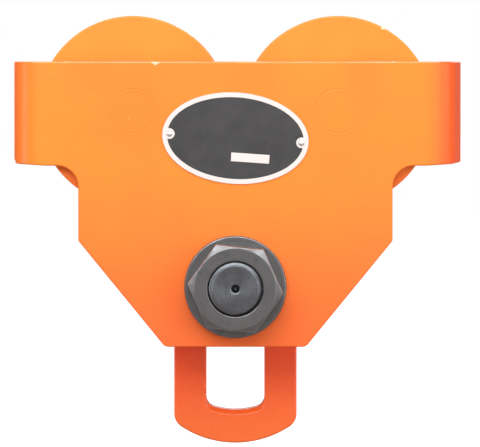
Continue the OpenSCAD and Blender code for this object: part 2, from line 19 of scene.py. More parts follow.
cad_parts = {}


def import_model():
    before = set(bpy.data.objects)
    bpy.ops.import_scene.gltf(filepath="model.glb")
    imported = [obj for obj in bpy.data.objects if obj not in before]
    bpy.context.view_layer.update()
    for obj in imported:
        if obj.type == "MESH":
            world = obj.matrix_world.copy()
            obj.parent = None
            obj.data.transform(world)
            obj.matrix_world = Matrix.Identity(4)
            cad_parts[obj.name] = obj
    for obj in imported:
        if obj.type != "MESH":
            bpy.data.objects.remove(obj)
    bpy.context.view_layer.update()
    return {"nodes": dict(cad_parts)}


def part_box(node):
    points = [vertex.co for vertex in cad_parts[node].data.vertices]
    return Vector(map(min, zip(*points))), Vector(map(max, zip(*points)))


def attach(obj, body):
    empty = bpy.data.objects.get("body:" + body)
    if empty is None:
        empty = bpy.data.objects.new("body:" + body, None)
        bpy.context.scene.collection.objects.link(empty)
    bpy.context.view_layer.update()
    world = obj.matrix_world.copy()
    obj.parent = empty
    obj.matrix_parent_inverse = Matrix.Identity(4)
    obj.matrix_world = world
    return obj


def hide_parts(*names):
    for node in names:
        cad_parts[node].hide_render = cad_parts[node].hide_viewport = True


MM = 0.001
SIDES = ("front", "rear")
ENDS = ("left", "right")
# X and z of the load bolt's axis, which the washers share, in mm
BOLT_AXIS = (0.0, -73.5)
# Fall of a chamfer or a centre hole that is turned 30 degrees off the face
FALL_30 = math.tan(math.radians(30))
# An edge is sharp where its faces turn by more than this, and faces within this are one plane
SHARP = math.radians(28)
SAME_PLANE = math.radians(0.1)
# Points closer than this are one, in mm: on a solid's mesh, along an outline and in a face
SAME_CORNER = 0.002
SAME_POINT = 0.001
SAME_SPOT = 1e-6
# Most values of a noise lie between these
NOISE_SPAN = (0.3, 0.7)
WHITE = (1.0, 1.0, 1.0, 1.0)
log = logging.getLogger("trolley")

Socket = bpy.types.NodeSocket
Value = Union[Socket, float, int, tuple]
Profile = list[tuple[float, float]]


class Body(Enum):
    """Bodies of the frame that this script names; a wheel adds its corner."""

    FRAME = "frame"
    LINK = "link"
    WHEEL = "wheel"

    def at(self, corner: str) -> str:
        """Returns the name of this kind of body at one corner."""
        return f"{self.value}_{corner}"


def linear(code: str) -> tuple[float, float, float, float]:
    """Turns an sRGB colour into the linear one that a shader takes.

    Args:
        code: six hexadecimal digits.

    Returns:
        Linear red, green and blue, and an alpha of 1.
    """
    share = np.array([int(code[i:i + 2], 16) for i in (0, 2, 4)]) / 255
    flat = np.where(share <= 0.04045, share / 12.92, ((share + 0.055) / 1.055) ** 2.4)
    return (*map(float, flat), 1.0)


def per_metre(length: float) -> float:
    """Returns the scale of a pattern in Object coordinates that repeats every length, in mm."""
    return 1 / (length * MM)


def middle_of(low: Vector, high: Vector) -> tuple[float, float]:
    """Returns x and z of the middle of a box, in mm."""
    return (low.x + high.x) / 2 / MM, (low.z + high.z) / 2 / MM


def outer_face(side: str, low: Vector, high: Vector) -> float:
    """Returns y of a box's face that looks out of the trolley on one side, in mm."""
    return (low.y if side == "front" else high.y) / MM


def angles(segments: int) -> np.ndarray:
    """Returns the angles of evenly spaced points round a circle: 2 pi j / segments."""
    return 2 * np.pi * np.arange(segments) / segments


class Graph:
    """Node tree of one material or of the world."""

    def __init__(self, owner: Union[bpy.types.Material, bpy.types.World]) -> None:
        """Starts the owner's node tree afresh."""
        owner.use_nodes = True
        self.owner = owner
        self.tree = owner.node_tree
        self.tree.nodes.clear()

    def add(self, kind: str, inputs: Optional[dict[Union[str, int], Value]] = None,
            out: Union[str, int] = 0, **settings: Any) -> Socket:
        """Adds one node with its settings and links.

        Args:
            kind: the node's type.
            inputs: for each input by name or number, the output it is linked to or its value.
            out: the output that is wanted, by name or number.
            settings: the node's own properties.

        Returns:
            The output that is wanted, or None where the node has none.
        """
        node = self.tree.nodes.new(kind)
        for name, value in settings.items():
            setattr(node, name, value)
        for key, value in (inputs or {}).items():
            if isinstance(value, Socket):
                self.tree.links.new(value, node.inputs[key])
            else:
                node.inputs[key].default_value = value
        return node.outputs[out] if len(node.outputs) else None

    def place(self) -> Socket:
        """Gives the Object coordinates, in metres."""
        return self.add("ShaderNodeTexCoord", out="Object")

    def part(self, vector: Socket, axis: str) -> Socket:
        """Gives one coordinate of a vector."""
        return self.add("ShaderNodeSeparateXYZ", {"Vector": vector}, out=axis)

    def length(self, vector: Socket) -> Socket:
        """Gives the length of a vector."""
        return self.add("ShaderNodeVectorMath", {0: vector}, out="Value", operation="LENGTH")

    def radial(self, vector: Socket) -> Socket:
        """Gives the distance of a place from the Y axis."""
        return self.length(self.add("ShaderNodeVectorMath", {0: vector, 1: (1.0, 0.0, 1.0)},
                                    operation="MULTIPLY"))

    def about(self, place: Socket, centre: tuple[float, float]) -> Socket:
        """Moves a line along Y, at a centre in mm, onto the Y axis."""
        return self.add("ShaderNodeMapping", {"Vector": place, "Location": (
            -centre[0] * MM, 0.0, -centre[1] * MM)})

    def maths(self, operation: str, *values: Value) -> Socket:
        """Does one sum with the values."""
        return self.add("ShaderNodeMath", dict(enumerate(values)), operation=operation)

    def ramp(self, value: Socket, start: float, end: float, low: float = 0.0,
             high: float = 1.0, kind: str = "LINEAR") -> Socket:
        """Gives low at the start, high at the end and an even blend of both between them."""
        return self.add("ShaderNodeMapRange", {"Value": value, 1: start, 2: end, 3: low, 4: high},
                        interpolation_type=kind)

    def ease(self, value: Socket, *ends: float) -> Socket:
        """Does what ramp does, with soft ends, by the smooth step t t (3 - 2 t)."""
        return self.ramp(value, *ends, kind="SMOOTHSTEP")

    def blend(self, factor: Socket, first: Value, second: Value) -> Socket:
        """Mixes two colours: the first where the factor is 0 and the second where it is 1."""
        return self.add("ShaderNodeMix", {0: factor, 6: first, 7: second}, out=2,
                        data_type="RGBA")

    def noise(self, place: Socket, size: float, detail: float, roughness: float = 0.5) -> Socket:
        """Gives a noise whose largest features are about size mm apart."""
        return self.add("ShaderNodeTexNoise", {"Vector": place, "Scale": per_metre(size),
                                               "Detail": detail, "Roughness": roughness})

    def finish(self, shader: Socket) -> bpy.types.Material:
        """Links the material's output to its shader and returns the material."""
        self.add("ShaderNodeOutputMaterial", {"Surface": shader})
        return self.owner


@dataclass(frozen=True)
class Look:
    """What a finish shows from point to point. Its relief is in mm."""

    colour: Socket
    rough: Socket
    relief: Socket
    metallic: Value = 0.0


@dataclass(frozen=True)
class Finish:
    """What every finish has: the name of its material, which is made once and then shared."""

    name: str

    def material(self) -> bpy.types.Material:
        """Returns the finish's material, made on first use."""
        known = bpy.data.materials.get(self.name)
        return known or self.build(Graph(bpy.data.materials.new(self.name)))

    def about(self, centre: tuple[float, float], where: str) -> "Finish":
        """Returns the finish for a piece that was turned about another axis."""
        return self

    def look(self, g: Graph) -> Look:
        """Makes the nodes of what changes over the surface; each kind of finish has its own."""
        raise NotImplementedError

    def gloss(self, g: Graph) -> dict[str, Value]:
        """Returns the shader's settings that are the same all over the surface."""
        return {}

    def build(self, g: Graph) -> bpy.types.Material:
        """Makes the material."""
        look = self.look(g)
        bump = g.add("ShaderNodeBump", {"Strength": 1.0, "Distance": MM, "Height": look.relief})
        return g.finish(g.add("ShaderNodeBsdfPrincipled", {
            "Base Color": look.colour, "Roughness": look.rough, "Metallic": look.metallic,
            "Normal": bump, **self.gloss(g)}))


@dataclass(frozen=True)
class Chip:
    """Flake of paint knocked off an edge: its middle, length along X and height, in mm."""

    x: float
    z: float
    length: float
    height: float
    y: float = -88.0


@dataclass(frozen=True)
class SprayedEnamel(Finish):
    """Alkyd enamel sprayed over a pale undercoat.

    The coat is satin, so it shows broad soft highlights. Its thickness drifts, which the eye
    reads as faint clouds, it levels into an orange peel, and dust and chips catch the light.
    Painted shade makes it redder low down and on the folded ends, most on the right end, which
    faces away from the light; the link's copy is painted lighter low down instead, as painted
    light. A worn top edge, where the undercoat shows, is a painted highlight.
    """

    colour: str = "FF902A"
    tint: str = "FF8826"
    # Colour painted towards the bottom, and the heights where it starts and is full: painted shade
    # on the plates and wheels, painted light on the link
    bottom_light_and_shade: str = "FF722E"
    bottom_blend_start: float = 40.0
    bottom_blend_full: float = -130.0
    # Painted shade on the folded ends: its colour, and where it starts, where it is full and how
    # far it goes. The right end, turned away from the light, gets more.
    fold_shade: str = "FF5A20"
    fold_shade_left: tuple[float, float, float] = (-142.0, -164.0, 0.35)
    fold_shade_right: tuple[float, float, float] = (140.0, 163.0, 0.85)
    roughness: float = 0.42
    # How far the clouds polish and dull the coat
    glossier: float = 0.05
    duller: float = 0.06
    ior: float = 1.5
    shine: float = 0.45
    # Distance between the clouds, and the noise's values where the tint starts and is full
    cloud: float = 55.0
    drift: tuple[float, float] = (0.34, 0.66)
    # Real orange peel repeats every 1 to 3 mm; the finer end wouldn't show at this size
    peel: float = 3.2
    peel_depth: float = 0.012
    # Distance between grains of dust, and where a grain ends and is full, as shares of it
    speck: float = 26.0
    grain: tuple[float, float] = (0.026, 0.016)
    grain_shade: float = 0.35
    chips: tuple[Chip, ...] = ()
    # Size of the rags on a chip's edge, and how far out, in half chips, the edge runs
    rag: float = 0.9
    chip_end: float = 1.5
    # Painted highlight along an edge, drawn as the undercoat showing through worn paint: the
    # edge's height and its distance from the middle
    painted_edge_highlight: Optional[tuple[float, float]] = None
    # How much shows there at least and at most, the distance between the patches, the noise's
    # values from least to most, and how far from the edge it starts and is full
    highlight_share: tuple[float, float] = (0.25, 0.75)
    patch: float = 30.0
    patches: tuple[float, float] = (0.35, 0.68)
    highlight_width: tuple[float, float] = (1.3, 0.3)
    coat_t: float = 0.06
    # Pale undercoat, on chips and dust, and the colour of the painted edge highlight
    primer_and_edge_highlight: str = "F6D9B4"

    def gloss(self, g: Graph) -> dict[str, Value]:
        """Returns the enamel's index of refraction and shine."""
        return {"IOR": self.ior, "Specular IOR Level": self.shine}

    def look(self, g: Graph) -> Look:
        """Makes the enamel's nodes."""
        place = g.place()
        cloud = g.noise(place, self.cloud, detail=4.0, roughness=0.55)
        drift = g.ramp(cloud, *self.drift)
        colour = g.blend(drift, linear(self.colour), linear(self.tint))
        # Painted shade towards the bottom of the plates and wheels, painted light towards the
        # bottom of the link
        bottom_share = g.ease(g.part(place, "Z"), self.bottom_blend_start * MM, self.bottom_blend_full * MM)
        colour = g.blend(bottom_share, colour, linear(self.bottom_light_and_shade))
        # Painted shade on the folded ends, which turn away from the light
        across = g.part(place, "X")
        for start, full, most in (self.fold_shade_left, self.fold_shade_right):
            folded = g.ease(across, start * MM, full * MM, 0.0, most)
            colour = g.blend(folded, colour, linear(self.fold_shade))
        # Undercoat on dust and chips, and the painted highlight along the top edge
        bare = self.bare(g, place)
        colour = g.blend(bare, colour, linear(self.primer_and_edge_highlight))
        rough = g.ramp(cloud, *NOISE_SPAN, self.roughness - self.glossier,
                       self.roughness + self.duller)
        peel = g.noise(place, self.peel, detail=2.0, roughness=0.4)
        skin = g.maths("MULTIPLY", peel, self.peel_depth)
        lost = g.maths("MULTIPLY", bare, self.coat_t)
        return Look(colour, rough, g.maths("SUBTRACT", skin, lost))

    def bare(self, g: Graph, place: Socket) -> Socket:
        """Works out where the pale undercoat colour goes: dust, chips, and the painted highlight
        along the top edge, drawn as worn paint.

        Each chip is an ellipsoid round its middle, with a ragged edge from a fine noise.

        Args:
            g: the material's graph.
            place: the Object coordinates.

        Returns:
            A factor that is 1 on a chip and less on a grain of dust or on the painted edge
            highlight.
        """
        dust = g.add("ShaderNodeTexVoronoi", {"Vector": place, "Scale": per_metre(self.speck)},
                     out="Distance")
        outer, inner = self.grain
        found = g.ramp(dust, inner, outer, self.grain_shade, 0.0)
        if self.painted_edge_highlight:
            found = g.maths("MAXIMUM", found, self.worn(g, place))
        if not self.chips:
            return found
        rag = g.noise(place, self.rag, detail=2.0)
        for chip in self.chips:
            size = Vector((chip.length, 2 * chip.height, chip.height)) * MM / 2
            scale = tuple(1 / s for s in size)
            start = tuple(-c * MM * s for c, s in zip((chip.x, chip.y, chip.z), scale))
            inside = g.add("ShaderNodeMapping", {"Vector": place, "Location": start,
                                                 "Scale": scale})
            ragged = g.maths("ADD", g.length(inside), rag)
            spot = g.maths("LESS_THAN", ragged, self.chip_end)
            found = g.maths("MAXIMUM", found, spot)
        return found

    def worn(self, g: Graph, place: Socket) -> Socket:
        """Works out the painted highlight along the top edge, drawn as worn-through undercoat.

        It is a smooth step over the edge's width in height times one in distance, and a noise
        along the edge sets how strong it is from place to place.

        Args:
            g: the material's graph.
            place: the Object coordinates.

        Returns:
            A factor from 0 to the larger of the two shares that show.
        """
        top, outside = self.painted_edge_highlight
        away = g.maths("ABSOLUTE", g.part(place, "Y"))
        patch = g.noise(place, self.patch, detail=5.0, roughness=0.65)
        painted_edge_highlight = g.ramp(patch, *self.patches, *self.highlight_share)
        start, full = self.highlight_width
        for value, end in ((g.part(place, "Z"), top), (away, outside)):
            near = g.ease(value, (end - start) * MM, (end - full) * MM)
            painted_edge_highlight = g.maths("MULTIPLY", painted_edge_highlight, near)
        return painted_edge_highlight


@dataclass(frozen=True)
class TurnedSteel(Finish):
    """Steel turned on a lathe, then black oxided, ground or left bright.

    The tool leaves fine rings about the piece's axis, which spread a highlight into streaks
    across them. Oxide gives a dark grey that is browner where oil sits.
    """

    colour: str = "63625F"
    stain: str = "524D48"
    roughness: float = 0.4
    # How far the blotches of oil polish and dull the steel
    glossier: float = 0.06
    duller: float = 0.1
    # Oxide and oil scatter part of the light, so this falls short of 1 on blackened steel
    metallic: float = 1.0
    # The feed of the tool, drawn at 0.8 mm, because 0.2 mm is finer than the render shows
    feed: float = 0.8
    ring_depth: float = 0.006
    centre: tuple[float, float] = (0.0, 0.0)
    # Distance between the blotches, and the noise's values where one starts and is full
    mottle: float = 9.0
    blotch: tuple[float, float] = (0.35, 0.7)
    # How far the rings lighten and darken the colour, and the noise's values for the two ends
    contrast: float = 0.22
    ring_span: tuple[float, float] = (0.25, 0.75)
    # How far the rings, too fine to model, draw a highlight out across them
    drag: float = 0.0

    def about(self, centre: tuple[float, float], where: str) -> "TurnedSteel":
        """Returns the finish with its rings about another axis."""
        return replace(self, name=f"{self.name}_{where}", centre=centre)

    def gloss(self, g: Graph) -> dict[str, Value]:
        """Returns the pull of the rings on the highlight, where they pull at all."""
        if not self.drag:
            return {}
        across = g.add("ShaderNodeTangent", direction_type="RADIAL", axis="Y")
        return {"Anisotropic": self.drag, "Tangent": across}

    def look(self, g: Graph) -> Look:
        """Makes the steel's nodes."""
        place = g.place()
        middle = g.about(place, self.centre)
        groove = g.maths("ADD", g.radial(middle), g.part(middle, "Y"))
        feed = g.maths("MULTIPLY", groove, per_metre(self.feed))
        rings = g.add("ShaderNodeTexNoise", {"W": feed, "Scale": 1.0, "Detail": 3.0,
                                             "Roughness": 0.7}, noise_dimensions="1D")
        blotch = g.noise(place, self.mottle, detail=5.0, roughness=0.6)
        stain = g.ramp(blotch, *self.blotch)
        colour = g.blend(stain, linear(self.colour), linear(self.stain))
        shade = g.ramp(rings, *self.ring_span, 1.0 - self.contrast, 1.0 + self.contrast)
        colour = g.add("ShaderNodeVectorMath", {0: colour, 3: shade}, operation="SCALE")
        rough = g.ramp(blotch, *NOISE_SPAN, self.roughness - self.glossier,
                       self.roughness + self.duller)
        return Look(colour, rough, g.maths("MULTIPLY", rings, self.ring_depth), self.metallic)


@dataclass(frozen=True)
class PaleCorneredHexagon(TurnedSteel):
    """Turned steel of a hexagon nut, with a paler colour on its outer corners.

    It shows as a thin pale line round the hexagon. The nut that wears the finish
    gives its sizes, and face_at is the distance of its outer face from the middle.
    """

    flats: float = 0.0
    turn: float = 0.0
    face_r: float = 0.0
    face_at: float = 0.0
    bright: str = "AEB0B4"
    # Width of the pale line, and how much of it is bright right up to the flat
    width: float = 0.45
    full: float = 0.1

    def look(self, g: Graph) -> Look:
        """Makes the steel's nodes and lightens its corners."""
        steel = super().look(g)
        return replace(steel, colour=g.blend(self.corners(g), steel.colour, linear(self.bright)))

    def corners(self, g: Graph) -> Socket:
        """Works out where the outer corners are.

        They are within the width of a flat, whose distance is the largest of three projections,
        and of the chamfer, which is a cone: its depth is (r - face_r) tan 30.

        Args:
            g: the material's graph.

        Returns:
            A factor that is 1 on a corner.
        """
        middle = g.about(g.place(), self.centre)
        reach: Value = 0.0
        for k in range(3):
            a = math.radians(self.turn + 30 + 60 * k)
            out = g.add("ShaderNodeVectorMath", {0: middle, 1: (math.cos(a), 0.0, math.sin(a))},
                        out="Value", operation="DOT_PRODUCT")
            reach = g.maths("MAXIMUM", g.maths("ABSOLUTE", out), reach)
        away = g.maths("ABSOLUTE", g.part(middle, "Y"))
        cone = g.maths("MULTIPLY_ADD", g.radial(middle), FALL_30, away)
        start = (self.face_at + self.face_r * FALL_30) * MM
        half = self.flats / 2
        edge = g.ease(reach, (half - self.width) * MM, (half - self.full) * MM)
        near = g.ease(cone, start - self.width * MM, start)
        return g.maths("MULTIPLY", edge, near)


@dataclass(frozen=True)
class SprayedEnd(Finish):
    """Turned steel whose outer end was sprayed along with the plate that it is welded into."""

    steel: TurnedSteel
    coat: SprayedEnamel
    # Distance from the trolley's middle at which the coat starts
    coat_from: float

    def about(self, centre: tuple[float, float], where: str) -> "SprayedEnd":
        """Returns the finish with the steel's rings about another axis."""
        return replace(self, name=f"{self.name}_{where}", steel=self.steel.about(centre, where))

    def gloss(self, g: Graph) -> dict[str, Value]:
        """Returns the coat's settings, because the coated end is the one in view."""
        return self.coat.gloss(g)

    def look(self, g: Graph) -> Look:
        """Makes the nodes of both, and shows the coat beyond the plane where it starts."""
        steel, coat = self.steel.look(g), self.coat.look(g)
        out = g.maths("ABSOLUTE", g.part(g.place(), "Y"))
        coated = g.maths("GREATER_THAN", out, self.coat_from * MM)
        colour = g.blend(coated, steel.colour, coat.colour)
        rough, relief, metallic = (
            g.add("ShaderNodeMix", {0: coated, 2: bare, 3: covered})
            for bare, covered in ((steel.rough, coat.rough), (steel.relief, coat.relief),
                                  (steel.metallic, coat.metallic)))
        return Look(colour, rough, relief, metallic)


@dataclass(frozen=True)
class PrintedPlate(Finish):
    """Stamped aluminium nameplate, screen printed charcoal with its raised parts left white.

    The print is smooth and slightly glossy, with a faint grain from the rolled sheet.
    """

    ground: str = "353638"
    raised: str = "E2E2E2"
    # Y between the printed field and the faces of the raised parts
    level: float = -88.75
    grain: float = 0.7
    grain_depth: float = 0.006
    # Distance between the patches of wear, and how they shade and polish the print
    wear: float = 14.0
    shades: tuple[float, float] = (0.88, 1.16)
    roughness: tuple[float, float] = (0.34, 0.5)

    def look(self, g: Graph) -> Look:
        """Makes the printed plate's nodes."""
        place = g.place()
        proud = g.maths("LESS_THAN", g.part(place, "Y"), self.level * MM)
        grain = g.noise(place, self.grain, detail=3.0, roughness=0.6)
        worn = g.noise(place, self.wear, detail=5.0, roughness=0.65)
        shade = g.ramp(worn, *NOISE_SPAN, *self.shades)
        print_colour = g.add("ShaderNodeVectorMath", {0: linear(self.ground)[:3], 3: shade},
                             operation="SCALE")
        colour = g.blend(proud, print_colour, linear(self.raised))
        rough = g.ramp(worn, *NOISE_SPAN, *self.roughness)
        return Look(colour, rough, g.maths("MULTIPLY", grain, self.grain_depth))


# Colours are matched to the object. The wheels' and the link's enamels are the plates' orange
# enamel with painted light and shade, and the plates' top edge carries a painted highlight.
PLATE_ENAMEL = SprayedEnamel("sprayed_orange_enamel", painted_edge_highlight=(94.0, 88.0), chips=(
    Chip(-126.8, 93.7, 4.0, 0.7), Chip(-106.7, 93.8, 3.0, 0.6), Chip(-61.3, 93.4, 2.6, 1.6),
    Chip(-59.6, 92.5, 2.4, 2.2), Chip(-57.8, 93.3, 2.4, 1.6), Chip(85.3, 93.8, 1.8, 0.6),
    Chip(91.2, 93.8, 2.0, 0.6), Chip(117.3, 93.6, 3.4, 0.8)))
WELD_ENAMEL = replace(PLATE_ENAMEL, name="sprayed_enamel_on_weld", chips=(), painted_edge_highlight=None)
# The plates' orange enamel, painted lighter as painted light from above, and redder on the lower
# half as painted shade under the plates' folded ends
WHEEL_ENAMEL = SprayedEnamel("sprayed_wheel_enamel", colour="FF962E", tint="FF8E28",
                             bottom_light_and_shade="FF7E26", bottom_blend_start=60.0, bottom_blend_full=-20.0,
                             chips=(Chip(110.0, 118.8, 3.6, 1.6, -75.0),))
# The same orange enamel, painted redder as painted shade, since the link hangs behind the plates,
# and lighter low down as painted light, below the plates' shadow
LINK_ENAMEL = SprayedEnamel("dipped_red_orange_enamel", colour="FF5224", tint="FF4C1E",
                            bottom_light_and_shade="FF7834", bottom_blend_start=-110.0, bottom_blend_full=-200.0, shine=0.6,
                            roughness=0.26)
BLACK_STEEL = TurnedSteel("black_oxide_turned_steel", colour="7A7B7E", stain="686767",
                          centre=BOLT_AXIS, metallic=0.9, roughness=0.3, ring_depth=0.02)
NUT_STEEL = PaleCorneredHexagon("black_oxide_nut_steel", colour="7A7B7E", stain="686767",
                          centre=BOLT_AXIS, metallic=0.9, roughness=0.3, ring_depth=0.02)
STUD_STEEL = TurnedSteel("oiled_turned_stud_steel", colour="6E7277", stain="5C5E62",
                         centre=BOLT_AXIS, metallic=0.9, roughness=0.28, ring_depth=0.04,
                         feed=1.2, contrast=0.3, drag=0.7)
SPACER_STEEL = TurnedSteel("black_oxide_washer_steel", colour="62605F", stain="504E4C",
                           centre=BOLT_AXIS, roughness=0.45, metallic=0.5)
AXLE_STEEL = TurnedSteel("bright_turned_axle_steel", colour="A8A6A2", stain="8E8A84",
                         roughness=0.3)
AXLE_COAT = SprayedEnd("axle_steel_sprayed_at_its_weld", AXLE_STEEL, WELD_ENAMEL, 78.0)
RING_STEEL = TurnedSteel("ground_bearing_steel", colour="C4C4C6", stain="B4B4B8",
                         roughness=0.2, contrast=0.06, ring_depth=0.002)
BALL_STEEL = TurnedSteel("polished_ball_steel", colour="D8D8DA", stain="D0D0D4",
                         roughness=0.1, contrast=0.01, ring_depth=0.0005)
CAGE_STEEL = TurnedSteel("pressed_cage_steel", colour="9C9A94", stain="8A8680",
                         roughness=0.35, contrast=0.05)
SHIELD_STEEL = TurnedSteel("zinc_plated_shield_steel", colour="B9BABC", stain="A8A9AC",
                           roughness=0.3, contrast=0.05)
SPRING_STEEL = TurnedSteel("phosphated_spring_steel", colour="4C4A48", stain="3C3A38",
                           roughness=0.5, contrast=0.08)
NAMEPLATE_PRINT = PrintedPlate("screen_printed_aluminium")
RIVET_ALUMINIUM = TurnedSteel("bright_aluminium_rivet", colour="E2E2E2", stain="D6D6D6",
                              roughness=0.28, contrast=0.02, ring_depth=0.001)


@dataclass(frozen=True)
class Surface:
    """Points of a piece, in mm, and its faces as rows of point numbers."""

    points: np.ndarray
    quads: np.ndarray
    tris: np.ndarray = field(default_factory=lambda: np.zeros((0, 3), int))

    def outward(self) -> "Surface":
        """Returns the surface with its faces turned so that the volume inside is positive.

        The volume is a sixth of the sum, over the triangles, of a . (b x c).
        """
        corners = np.vstack((self.quads[:, [0, 1, 2]], self.quads[:, [0, 2, 3]], self.tris))
        a, b, c = (self.points[corners[:, k]] for k in range(3))
        if np.einsum("ij,ij->", a, np.cross(b, c)) > 0:
            return self
        return Surface(self.points, self.quads[:, ::-1], self.tris[:, ::-1])


def turned(radius: np.ndarray, station: np.ndarray, centre: tuple[float, float],
           segments: int, tips: Optional[tuple[float, float]] = None) -> Surface:
    """Works out a surface turned about a line along Y.

    Point (i, j) lies at x = cx + r(i, j) cos a(j), y = s(i, j), z = cz + r(i, j) sin a(j),
    where a(j) = 2 pi j / segments. Row i joins row i + 1.

    Args:
        radius: one radius for each row, or one for each row and segment.
        station: y in the same form.
        centre: x and z of the axis.
        segments: number of points round the axis.
        tips: y of the point on the axis before the first row and after the last one. Without
            it, the last row joins the first, as on a ring.

    Returns:
        The closed surface, facing outwards.
    """
    rows = len(radius)
    angle = angles(segments)
    r = np.broadcast_to(np.asarray(radius, float).reshape(rows, -1), (rows, segments))
    s = np.broadcast_to(np.asarray(station, float).reshape(rows, -1), (rows, segments))
    grid = np.stack((centre[0] + r * np.cos(angle), s, centre[1] + r * np.sin(angle)), -1)
    points = grid.reshape(-1, 3)
    number = np.arange(rows * segments).reshape(rows, segments)
    upper = number if tips is None else number[:-1]
    lower = np.roll(number, -1, 0) if tips is None else number[1:]
    quads = np.stack((upper, np.roll(upper, -1, 1), np.roll(lower, -1, 1), lower), -1)
    tris = np.zeros((0, 3), int)
    if tips is not None:
        poles = np.array([[centre[0], tip, centre[1]] for tip in tips])
        points = np.vstack((points, poles))
        first, last = number[0], number[-1]
        ones = np.ones(segments, int)
        tris = np.vstack((
            np.stack((ones * rows * segments, np.roll(first, -1), first), -1),
            np.stack((ones * (rows * segments + 1), last, np.roll(last, -1)), -1)))
    return Surface(points, quads.reshape(-1, 4), tris).outward()


def arc(centre: tuple[float, float], radius: float, start: float, end: float,
        steps: int = 8) -> Profile:
    """Works out points of an arc: centre + radius (cos a, sin a), for a from start to end.

    Args:
        centre: radius and station of the arc's centre.
        radius: the arc's radius.
        start: first angle, in degrees.
        end: last angle, in degrees.
        steps: number of chords.

    Returns:
        The points, as radius and station.
    """
    a = np.radians(np.linspace(start, end, steps + 1))
    return list(zip(centre[0] + radius * np.cos(a), centre[1] + radius * np.sin(a)))


def inside(spots: np.ndarray, ring: np.ndarray) -> np.ndarray:
    """Tells which spots lie inside a closed outline.

    A spot is inside where a line from it to the right crosses the outline an odd number of times.

    Args:
        spots: places to test, as rows of two.
        ring: the outline's points, as rows of two.

    Returns:
        One truth value for each spot.
    """
    a, b = ring, np.roll(ring, -1, 0)
    x, y = spots[:, :1], spots[:, 1:]
    spans = (a[:, 1] > y) != (b[:, 1] > y)
    slope = (b[:, 0] - a[:, 0]) / np.where(b[:, 1] == a[:, 1], 1.0, b[:, 1] - a[:, 1])
    return (spans & (x < a[:, 0] + (y - a[:, 1]) * slope)).sum(axis=1) % 2 == 1


def make_piece(name: str, surface: Surface, finish: Finish, body: str,
               nodes: tuple[str, ...], ease: float = 0.0) -> bpy.types.Object:
    """Makes a piece from a surface, in place of one or more CAD nodes.

    Args:
        name: the piece's name.
        surface: its points and faces.
        finish: its finish.
        body: the body it rides on.
        nodes: the CAD nodes it stands for.
        ease: rounding of its sharp edges, in mm.

    Returns:
        The new object.
    """
    mesh = bpy.data.meshes.new(name)
    faces = surface.quads.tolist() + surface.tris.tolist()
    mesh.from_pydata((surface.points * MM).tolist(), [], faces)
    mesh.polygons.foreach_set("use_smooth", np.ones(len(mesh.polygons), bool))
    mesh.update()
    obj = bpy.data.objects.new(name, mesh)
    bpy.context.scene.collection.objects.link(obj)
    mesh.materials.append(finish.material())
    ease_edges(obj, ease)
    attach(obj, body)
    if nodes:
        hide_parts(*nodes)
    log.info("%s: %d faces on body %s", name, len(faces), body)
    return obj


def ease_edges(obj: bpy.types.Object, ease: float, steps: int = 2) -> None:
    """Rounds an object's sharp edges, so that they catch the light as real ones do.

    Args:
        obj: the object.
        ease: width of the rounding, in mm.
        steps: faces across it.
    """
    if ease:
        bevel = obj.modifiers.new("eased edges", "BEVEL")
        bevel.width = ease * MM
        bevel.segments = steps
        bevel.limit_method = "ANGLE"
        bevel.use_clamp_overlap = False
        # Otherwise the rounding runs far along edges inside a flat face that graze a hole
        bevel.loop_slide = False
        bevel.angle_limit = SHARP
    weights = obj.modifiers.new("flat faces stay flat", "WEIGHTED_NORMAL")
    weights.weight = 100
    weights.keep_sharp = False


def dress_node(nodes: dict[str, bpy.types.Object], name: str, finish: Finish,
               ease: float, steps: int = 2) -> None:
    """Gives a CAD node its finish and eases its edges.

    Its loose triangles are joined and its flat faces made whole first, so that only real edges
    are rounded.

    Args:
        nodes: the frame's nodes.
        name: the node's name.
        finish: its finish.
        ease: width of the rounding, in mm.
        steps: faces across the rounding.
    """
    obj = nodes[name]
    weld = obj.modifiers.new("joined triangles", "WELD")
    weld.merge_threshold = SAME_CORNER * MM
    whole = obj.modifiers.new("whole flat faces", "DECIMATE")
    whole.decimate_type = "DISSOLVE"
    whole.angle_limit = SAME_PLANE
    ease_edges(obj, ease, steps)
    obj.material_slots[0].material = finish.material()
    log.info("%s: CAD node, edges eased by %.1f mm", name, ease)


@dataclass
class SidePlates:
    """The two folded side plates, and the ground welds of the axles in them."""

    edge: float = 1.2
    steps: int = 3
    spigot_r: float = 16.5
    weld_points: int = 17
    weld_half_w: float = 1.3
    weld_root: float = 0.4
    weld_dip: float = 0.13
    weld_proud: float = 0.03
    weld_deep: float = 2.5
    segments: int = 96

    def build(self, nodes: dict[str, bpy.types.Object]) -> None:
        """Dresses both plates and closes the grooves round the axles' ends."""
        for side in SIDES:
            dress_node(nodes, f"side_plate_{side}", PLATE_ENAMEL, self.edge, self.steps)
            for end in ENDS:
                self.weld(side, end)

    def weld(self, side: str, end: str) -> None:
        """Makes one weld ring, ground flush with a shallow hollow along its middle.

        Its outer face stands proud - dip (1 + cos(pi u)) / 2 out of the plate, for u from -1
        to 1 across its width, and its root in the steel is narrower.

        Args:
            side: front or rear.
            end: left or right.
        """
        low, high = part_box(f"axle_{side}_{end}")
        way = -1 if side == "front" else 1
        face = outer_face(side, low, high)
        u = np.linspace(-1, 1, self.weld_points)
        hollow = self.weld_proud - self.weld_dip * (1 + np.cos(np.pi * u)) / 2
        root = self.spigot_r + self.weld_root * np.array([1, -1])
        radius = np.concatenate((self.spigot_r + self.weld_half_w * u, root))
        station = np.concatenate((face + way * hollow, face - way * self.weld_deep * np.ones(2)))
        ring = turned(radius, station, middle_of(low, high), self.segments)
        make_piece(f"axle_weld_{side}_{end}", ring, WELD_ENAMEL, Body.FRAME.value,
                   ())


